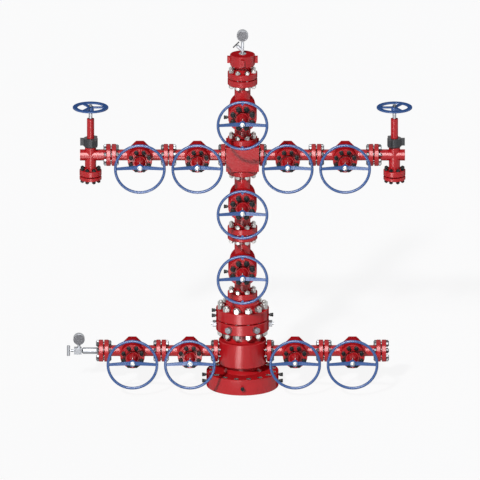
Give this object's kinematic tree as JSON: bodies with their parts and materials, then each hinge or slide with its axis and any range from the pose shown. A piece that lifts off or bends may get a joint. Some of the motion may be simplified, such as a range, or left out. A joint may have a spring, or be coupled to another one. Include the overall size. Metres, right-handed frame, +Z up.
{
  "type": "gas wellhead valve stack",
  "caption": "Flanged wellhead tree: tubing head, adapter, stacked gate valves, cross with wing valves, adjustable chokes, annulus valves, tree cap and gauges.",
  "frame": {"origin": "centre of the bottom flange's underside", "axes": "+Z up along the vertical run, -Y towards the handwheels, +X to the right seen from the handwheels"},
  "size_m": [3.1329, 0.8055, 3.38],
  "materials": {
    "red_paint": "gloss enamel over cast and forged steel",
    "blue_paint": "semi-gloss enamel",
    "bright_steel": "plated and lightly brushed",
    "dark_steel": "dark grey phosphate",
    "black_steel": "black oxide"
  },
  "bodies": {
    "root": {"tubing_head": "red_paint", "tubing_head_adapter": "red_paint", "lower_master_valve": "red_paint", "upper_master_valve": "red_paint", "swab_valve": "red_paint", "flow_cross": "red_paint", "left_inner_wing_valve": "red_paint", "left_outer_wing_valve": "red_paint", "right_inner_wing_valve": "red_paint", "right_outer_wing_valve": "red_paint", "left_inner_annulus_valve": "red_paint", "left_outer_annulus_valve": "red_paint", "right_inner_annulus_valve": "red_paint", "right_outer_annulus_valve": "red_paint", "run_bonnets": "red_paint", "wing_bonnets": "red_paint", "annulus_bonnets": "red_paint", "bearing_housings": "red_paint", "left_choke_body": "red_paint", "right_choke_body": "red_paint", "choke_union_nuts": "dark_steel", "choke_bonnet_tubes": "red_paint", "choke_outlet_flanges": "red_paint", "tree_cap_adapter": "red_paint", "tree_cap": "red_paint", "annulus_end_flanges": "red_paint", "annulus_nipple": "bright_steel", "needle_valves": "bright_steel", "pressure_gauges": "bright_steel", "lock_down_screws": "bright_steel", "test_fittings": "black_steel"},
    "lower_master_wheel": {"lower_master_wheel": "blue_paint"},
    "upper_master_wheel": {"upper_master_wheel": "blue_paint"},
    "swab_wheel": {"swab_wheel": "blue_paint"},
    "left_inner_wing_wheel": {"left_inner_wing_wheel": "blue_paint"},
    "left_outer_wing_wheel": {"left_outer_wing_wheel": "blue_paint"},
    "left_inner_annulus_wheel": {"left_inner_annulus_wheel": "blue_paint"},
    "left_outer_annulus_wheel": {"left_outer_annulus_wheel": "blue_paint"},
    "right_inner_wing_wheel": {"right_inner_wing_wheel": "blue_paint"},
    "right_outer_wing_wheel": {"right_outer_wing_wheel": "blue_paint"},
    "right_inner_annulus_wheel": {"right_inner_annulus_wheel": "blue_paint"},
    "right_outer_annulus_wheel": {"right_outer_annulus_wheel": "blue_paint"},
    "left_choke_stem": {"left_choke_stem": "bright_steel"},
    "left_choke_wheel": {"left_choke_wheel": "blue_paint"},
    "right_choke_stem": {"right_choke_stem": "bright_steel"},
    "right_choke_wheel": {"right_choke_wheel": "blue_paint"},
    "top_tee_handle": {"top_tee_handle": "dark_steel"},
    "annulus_tee_handle": {"annulus_tee_handle": "bright_steel"}
  },
  "joints": [
    {"name": "lower_master_turn", "type": "hinge", "parent": "root", "child": "lower_master_wheel", "pos_m": [0, -0.411, 1.14895], "axis": [0, -1, 0], "continuous": true},
    {"name": "upper_master_turn", "type": "hinge", "parent": "root", "child": "upper_master_wheel", "pos_m": [0, -0.411, 1.76805], "axis": [0, -1, 0], "continuous": true},
    {"name": "swab_turn", "type": "hinge", "parent": "root", "child": "swab_wheel", "pos_m": [0, -0.411, 2.61615], "axis": [0, -1, 0], "continuous": true},
    {"name": "left_inner_wing_turn", "type": "hinge", "parent": "root", "child": "left_inner_wing_wheel", "pos_m": [-0.41, -0.372, 2.1921], "axis": [0, -1, 0], "continuous": true},
    {"name": "left_outer_wing_turn", "type": "hinge", "parent": "root", "child": "left_outer_wing_wheel", "pos_m": [-0.9307, -0.372, 2.1921], "axis": [0, -1, 0], "continuous": true},
    {"name": "left_inner_annulus_turn", "type": "hinge", "parent": "root", "child": "left_inner_annulus_wheel", "pos_m": [-0.47735, -0.372, 0.331], "axis": [0, -1, 0], "continuous": true},
    {"name": "left_outer_annulus_turn", "type": "hinge", "parent": "root", "child": "left_outer_annulus_wheel", "pos_m": [-0.99805, -0.372, 0.331], "axis": [0, -1, 0], "continuous": true},
    {"name": "right_inner_wing_turn", "type": "hinge", "parent": "root", "child": "right_inner_wing_wheel", "pos_m": [0.41, -0.372, 2.1921], "axis": [0, -1, 0], "continuous": true},
    {"name": "right_outer_wing_turn", "type": "hinge", "parent": "root", "child": "right_outer_wing_wheel", "pos_m": [0.9307, -0.372, 2.1921], "axis": [0, -1, 0], "continuous": true},
    {"name": "right_inner_annulus_turn", "type": "hinge", "parent": "root", "child": "right_inner_annulus_wheel", "pos_m": [0.47735, -0.372, 0.331], "axis": [0, -1, 0], "continuous": true},
    {"name": "right_outer_annulus_turn", "type": "hinge", "parent": "root", "child": "right_outer_annulus_wheel", "pos_m": [0.99805, -0.372, 0.331], "axis": [0, -1, 0], "continuous": true},
    {"name": "left_choke_lift", "type": "slide", "parent": "root", "child": "left_choke_stem", "axis": [0, 0, 1], "range_m": [-0.025, 0.025]},
    {"name": "left_choke_turn", "type": "hinge", "parent": "left_choke_stem", "child": "left_choke_wheel", "pos_m": [-1.37805, 0, 2.6161], "axis": [0, 0, 1], "range_deg": [-1440, 1440]},
    {"name": "right_choke_lift", "type": "slide", "parent": "root", "child": "right_choke_stem", "axis": [0, 0, 1], "range_m": [-0.025, 0.025]},
    {"name": "right_choke_turn", "type": "hinge", "parent": "right_choke_stem", "child": "right_choke_wheel", "pos_m": [1.37805, 0, 2.6161], "axis": [0, 0, 1], "range_deg": [-1440, 1440]},
    {"name": "top_tee_turn", "type": "hinge", "parent": "root", "child": "top_tee_handle", "pos_m": [0, 0, 3.1821], "axis": [-0.7071, 0, 0.7071], "continuous": true},
    {"name": "annulus_tee_turn", "type": "hinge", "parent": "root", "child": "annulus_tee_handle", "pos_m": [-1.4933, 0, 0.331], "axis": [-1, 0, 0], "continuous": true}
  ],
  "couplings": [
    {"joint": "left_choke_lift", "follows": "left_choke_turn", "m_per_rad": 0.00095493},
    {"joint": "right_choke_lift", "follows": "right_choke_turn", "m_per_rad": 0.00095493}
  ]
}
